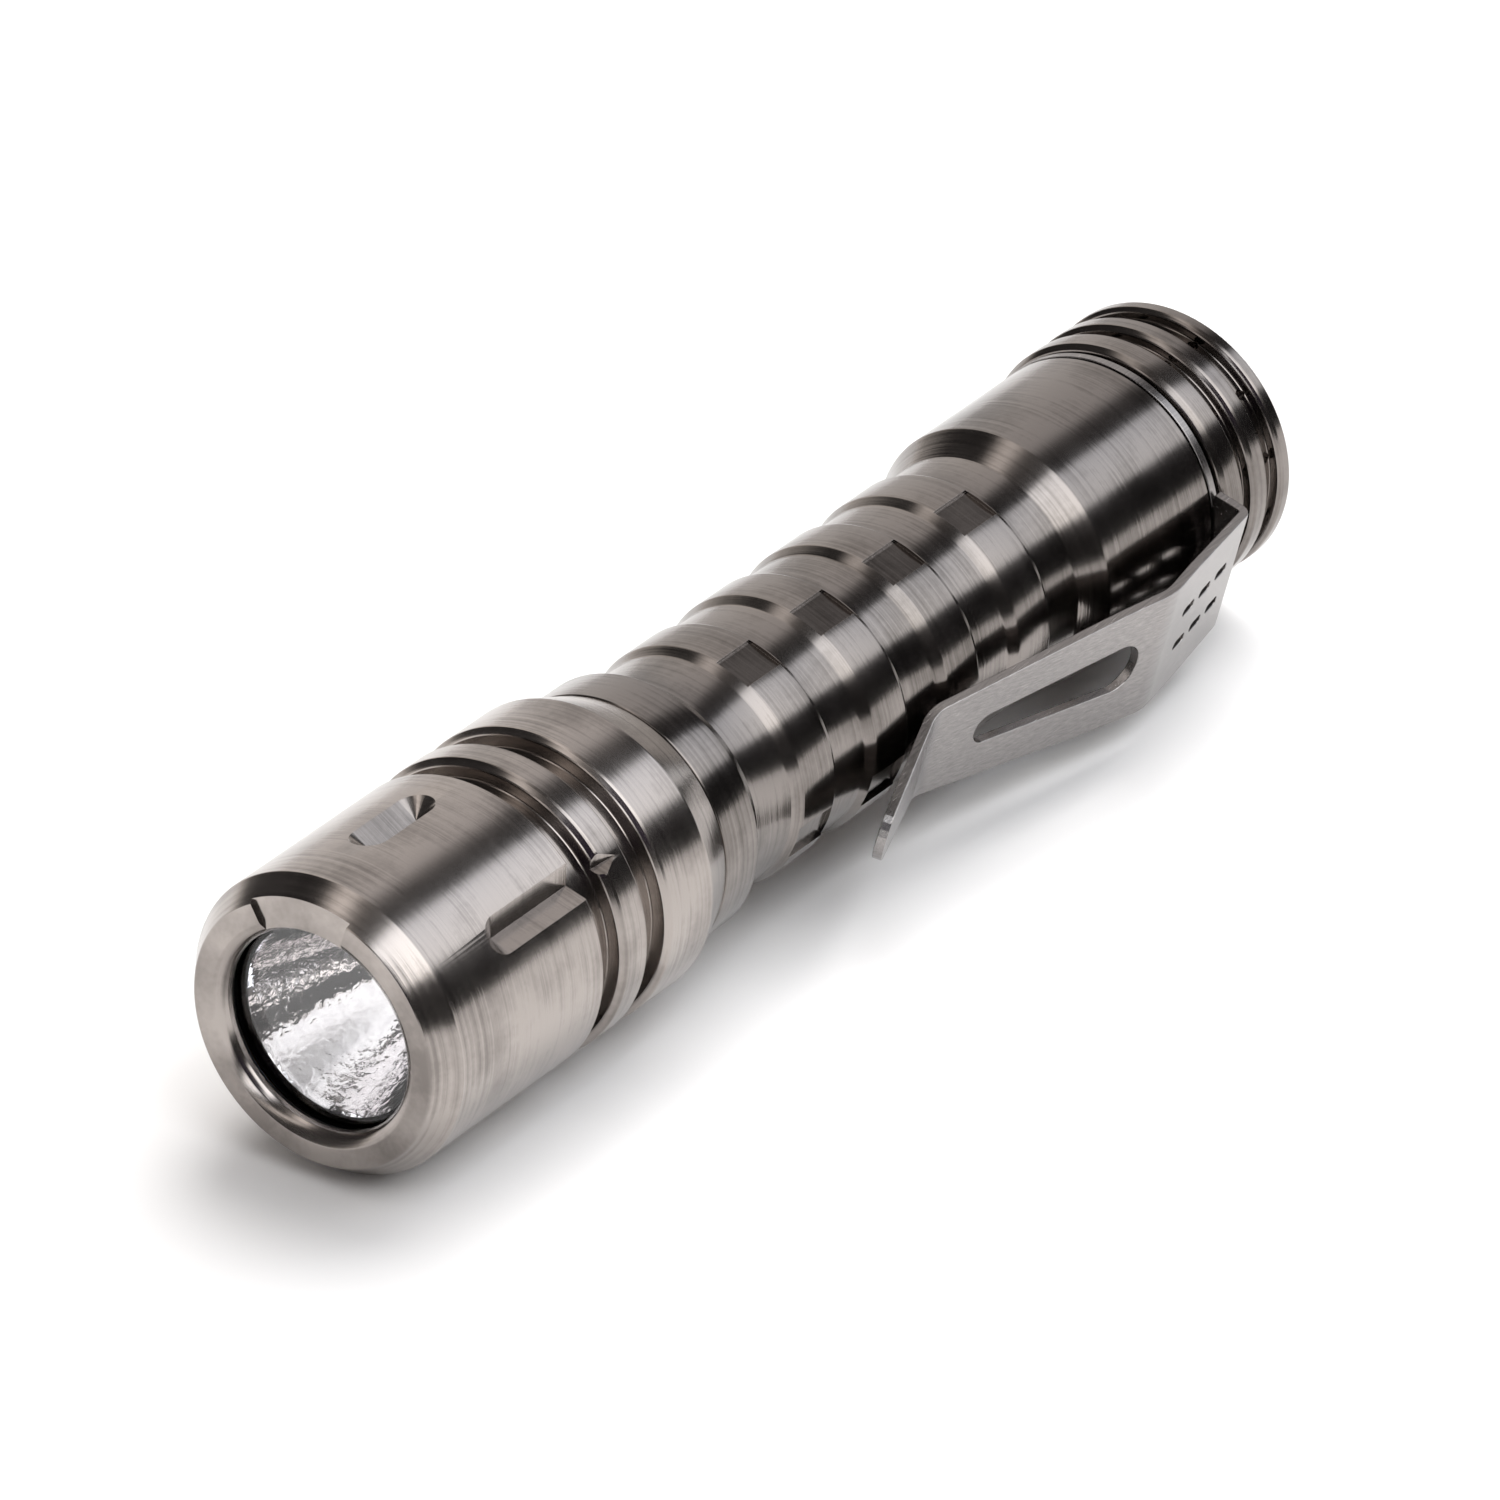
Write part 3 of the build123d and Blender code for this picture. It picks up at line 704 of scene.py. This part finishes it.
# the outer face, from the foot of the tab over the three bends to the flared tip
CLIP_PATH = ((65.38, 6.5), (65.38, 8.5), (56.4, 9.98), (40.0, 6.98), (32.4, 9.92))
BEND_OFFSET = 0.6
CLIP_SIDES = ((66.0, 3.6), (59.0, 3.9), (53.0, 3.72), (40.0, 2.75), (33.9, 1.6))
TIP_MIDDLE, TIP_R = 34.0, 1.6
TIP_CUTS = 7
TIP_LEAN = math.radians(80)
blade = bmesh.new()
path = [blade.verts.new((x, -BLANK_HALF_WIDTH, z)) for x, z in CLIP_PATH]
for first, second in zip(path, path[1:]):
    blade.edges.new((first, second))
bmesh.ops.bevel(
    blade, geom=path[1:-1], offset=BEND_OFFSET, segments=6, profile=0.5, affect="VERTICES", material=-1
)
drawn_out = bmesh.ops.extrude_edge_only(blade, edges=blade.edges[:])
moved = [v for v in drawn_out["geom"] if isinstance(v, bmesh.types.BMVert)]
bmesh.ops.translate(blade, verts=moved, vec=(0, 2 * BLANK_HALF_WIDTH, 0))
side_cuts = []
for (rear_x, rear_y), (front_x, front_y) in zip(CLIP_SIDES, CLIP_SIDES[1:]):
    side_cuts.append((Vector((rear_x, rear_y, 0)), Vector((front_y - rear_y, rear_x - front_x, 0))))
for count in range(TIP_CUTS):
    lean = TIP_LEAN * count / (TIP_CUTS - 1)
    outward = Vector((-math.cos(lean), math.sin(lean), 0))
    side_cuts.append((Vector((TIP_MIDDLE, 0, 0)) + TIP_R * outward, outward))
for point, normal in side_cuts:
    for side in (1, -1):
        facing = Vector((normal.x, side * normal.y, 0))
        bmesh.ops.bisect_plane(
            blade,
            geom=blade.verts[:] + blade.edges[:] + blade.faces[:],
            plane_co=(point.x, side * point.y, 0),
            plane_no=facing,
            clear_outer=True,
        )
bmesh.ops.recalc_face_normals(blade, faces=blade.faces)
bmesh.ops.solidify(blade, geom=blade.faces[:], thickness=SHEET)
bmesh.ops.recalc_face_normals(blade, faces=blade.faces)

WINDOW = ((44.3, 0.9), (53.4, 1.45))
VENT_STATIONS = (59.2, 61.1, 63.0)
VENT_SIDE = 1.1
VENT_HALF_LENGTH = 0.375
VENT_R = 0.275
BELOW, ABOVE = 6.0, 11.0
RING_FRONT, RING_REAR = 64.88, 65.38
RING_INNER_R, RING_OUTER_R = 6.42, 7.16
openings = bmesh.new()
wrap(openings, 0, [(x, 0, z, radius) for x, radius in WINDOW for z in (BELOW, ABOVE)])
for station in VENT_STATIONS:
    for side in (-VENT_SIDE, VENT_SIDE):
        ends = (station - VENT_HALF_LENGTH, station + VENT_HALF_LENGTH)
        wrap(openings, 0, [(x, side, z, VENT_R) for x in ends for z in (BELOW, ABOVE)], segments=24)
ring_section = [(RING_FRONT, RING_INNER_R), (RING_FRONT, RING_OUTER_R)]
ring_section += [(RING_REAR, RING_OUTER_R), (RING_REAR, RING_INNER_R)]
ring = turn(ring_section, edge=0)
blade = carved(blade, openings, edge=0)
clip = carved(blade, ring, edge=0.07, operation="UNION")
clip.transform(Matrix.Rotation(math.radians(CLIP_ANGLE), 4, "X"))
set_piece("clip", clip, clip_steel, "clip", "pocket_clip")

# ---------------------------------------------------------------------------
# Studio: a white table, an even lamp overhead, and a grey room with one bright strip
# window between two dark curtains that run along the body.
TABLE_HALF = 3.0
TABLE_GAP = 0.0002
floor_mesh = bmesh.new()
bmesh.ops.create_grid(floor_mesh, x_segments=1, y_segments=1, size=TABLE_HALF)
floor_data = bpy.data.meshes.new("floor")
floor_mesh.to_mesh(floor_data)
floor_mesh.free()
floor = bpy.data.objects.new("floor", floor_data)
floor.location = (0, 0, cad_box[0][2] - TABLE_GAP)
bpy.context.scene.collection.objects.link(floor)
# matt white paint, so that only a soft shadow shows
table_paint, _, _ = new_material(
    "white_table", Base_Color=linear("#F7F6F5"), Roughness=0.6, Specular_IOR_Level=0.2
)
floor_data.materials.append(table_paint)

lamp_data = bpy.data.lights.new("overhead", "SUN")
lamp_data.energy = 2.6
lamp_data.angle = math.radians(50)
lamp = bpy.data.objects.new("overhead", lamp_data)
lamp.rotation_euler = Vector((0.55, 0.1, 0.8)).to_track_quat("Z", "Y").to_euler()
lamp.visible_glossy = False
bpy.context.scene.collection.objects.link(lamp)

# what stands round the body, by the angle from straight up towards the clip's side
ROOM = (
    (-180, "#C2BDB9"),
    (-100, "#C2BDB9"),
    (-60, "#C4BFBA"),
    (-12, "#B7B2AF"),
    (-4, "#5A5756"),
    (2, "#3A3837"),
    (17, "#2A2929"),
    (20, "#F2F5FA"),
    (54, "#FFFFFF"),
    (57, "#201F1F"),
    (96, "#191818"),
    (102, "#A09E9C"),
    (180, "#C2BDB9"),
)
world = bpy.data.worlds.new("room")
bpy.context.scene.world = world
world.use_nodes = True
room = world.node_tree
room.nodes.clear()
looking = add(room, "ShaderNodeTexCoord")
parts = add(room, "ShaderNodeSeparateXYZ", Vector=(looking, "Generated"))
nearward = add(room, "ShaderNodeMath", {"operation": "MULTIPLY"}, _0=(parts, "Y"), _1=-1.0)
round_body = add(room, "ShaderNodeMath", {"operation": "ARCTAN2"}, _0=(nearward, 0), _1=(parts, "Z"))
share = add(
    room, "ShaderNodeMath", {"operation": "MULTIPLY_ADD"}, _0=(round_body, 0), _1=1 / math.tau, _2=0.5
)
strips = add(
    room,
    "ShaderNodeValToRGB",
    Fac=(share, 0),
    stops=[((degrees + 180) / 360, tone) for degrees, tone in ROOM],
)
# the window is brightest towards the front and dims towards the tail
fading = add(
    room,
    "ShaderNodeValToRGB",
    Fac=(parts, "X"),
    stops=((0.0, "#FFFFFF"), (0.35, "#F0F0F0"), (0.8, "#B4B6BA"), (1.0, "#A8A8A8")),
)
faded = add(
    room,
    "ShaderNodeMix",
    {"data_type": "RGBA", "blend_type": "MULTIPLY"},
    _0=1.0,
    _6=(strips, "Color"),
    _7=(fading, "Color"),
)
# a dark wall beyond the far side, seen from the front half of the body
far_band = add(
    room,
    "ShaderNodeValToRGB",
    Fac=(share, 0),
    stops=((0.24, "#000000"), (0.27, "#FFFFFF"), (0.42, "#FFFFFF"), (0.45, "#000000")),
)
front_half = add(
    room, "ShaderNodeValToRGB", Fac=(parts, "X"), stops=((0.25, "#FFFFFF"), (0.5, "#000000"))
)
walled = add(
    room, "ShaderNodeMath", {"operation": "MULTIPLY"}, _0=(far_band, "Color"), _1=(front_half, "Color")
)
beyond = add(
    room,
    "ShaderNodeMix",
    {"data_type": "RGBA"},
    _0=(walled, 0),
    _6=(faded, 2),
    _7=linear("#262525"),
)
# a dark stand in front of the lens, which the reflector breaks into streaks
STAND_TOWARDS = (-0.704, -0.503, 0.502)
stand_dot = add(
    room,
    "ShaderNodeVectorMath",
    {"operation": "DOT_PRODUCT"},
    _0=(looking, "Generated"),
    _1=STAND_TOWARDS,
)
stand_edge = add(
    room, "ShaderNodeValToRGB", Fac=(stand_dot, "Value"), stops=((0.945, "#000000"), (0.952, "#FFFFFF"))
)
with_stand = add(
    room,
    "ShaderNodeMix",
    {"data_type": "RGBA"},
    _0=(stand_edge, "Color"),
    _6=(beyond, 2),
    _7=linear("#1E1823"),
)
glow = add(room, "ShaderNodeBackground", Color=(with_stand, 2), Strength=3.0)
add(room, "ShaderNodeOutputWorld", Surface=(glow, "Background"))
bpy.context.scene.view_settings.view_transform = "Standard"

# Camera: a long lens, in front of the bezel and above the clip's side.
CAMERA_FROM_SHOULDER = (-0.4588, -0.3526, 0.3503)
CAMERA_RIGHT = Vector((0.58148, -0.81356, 0.0))
CAMERA_UP = Vector((0.40801, 0.29162, 0.86515))
camera_data = bpy.data.cameras.new("camera")
camera_data.sensor_width = 36.0
camera_data.lens = 340.4
camera_data.clip_start = 0.01
camera_data.clip_end = 20.0
camera = bpy.data.objects.new("camera", camera_data)
bpy.context.scene.collection.objects.link(camera)
facing_back = CAMERA_RIGHT.cross(CAMERA_UP)
aim = Matrix((CAMERA_RIGHT, CAMERA_UP, facing_back)).transposed().to_4x4()
stand = Vector((shoulder_x, axis_y, axis_z)) + Vector(CAMERA_FROM_SHOULDER)
camera.matrix_world = Matrix.Translation(stand) @ aim
bpy.context.scene.camera = camera
